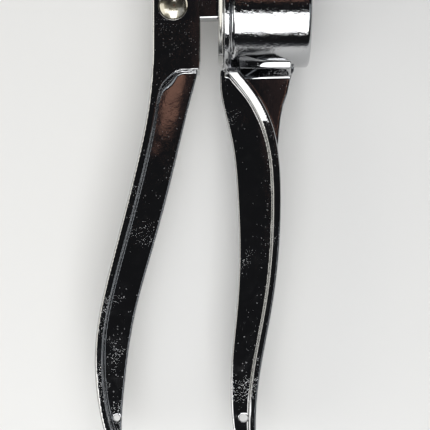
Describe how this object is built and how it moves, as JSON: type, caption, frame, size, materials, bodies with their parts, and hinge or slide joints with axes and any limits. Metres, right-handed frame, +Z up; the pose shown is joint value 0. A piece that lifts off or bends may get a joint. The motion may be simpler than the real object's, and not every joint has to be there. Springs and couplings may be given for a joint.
{
  "type": "garlic press",
  "caption": "Two-lever garlic press with T-section handles, a removable strainer basket in a cup and a plunger on a domed rivet.",
  "frame": {"origin": "centre of the bounding box, on the ground the press lies on", "axes": "+X along the cup axis towards its outlet, +Y from the handle tips to the hinge, +Z up along both hinge axes"},
  "size_m": [0.0672, 0.1866, 0.041],
  "materials": {
    "plated_casting": "bright chrome plate over a zinc casting",
    "stainless_sheet": "pressed stainless sheet",
    "rivet_steel": "polished nickel-plated steel"
  },
  "bodies": {
    "cup": {"cup_lever": "plated_casting", "strainer_basket": "stainless_sheet", "strainer_plate": "stainless_sheet", "hinge_rivet": "rivet_steel", "hinge_rivet_cap": "rivet_steel"},
    "lever": {"plunger_lever": "plated_casting", "plunger_rivet": "rivet_steel", "plunger_rivet_cap": "rivet_steel"},
    "plunger": {"plunger": "plated_casting"}
  },
  "joints": [
    {"name": "lever_hinge", "type": "hinge", "parent": "cup", "child": "lever", "pos_m": [0.0039, 0.08582, 0.0205], "axis": [0, 0, -1], "range_deg": [-6, 72]},
    {"name": "plunger_pivot", "type": "hinge", "parent": "lever", "child": "plunger", "pos_m": [-0.0091, 0.04962, 0.0205], "axis": [0, 0, -1], "range_deg": [-24.8, 2.4]}
  ],
  "couplings": [
    {"joint": "plunger_pivot", "follows": "lever_hinge", "ratio": -0.338}
  ]
}
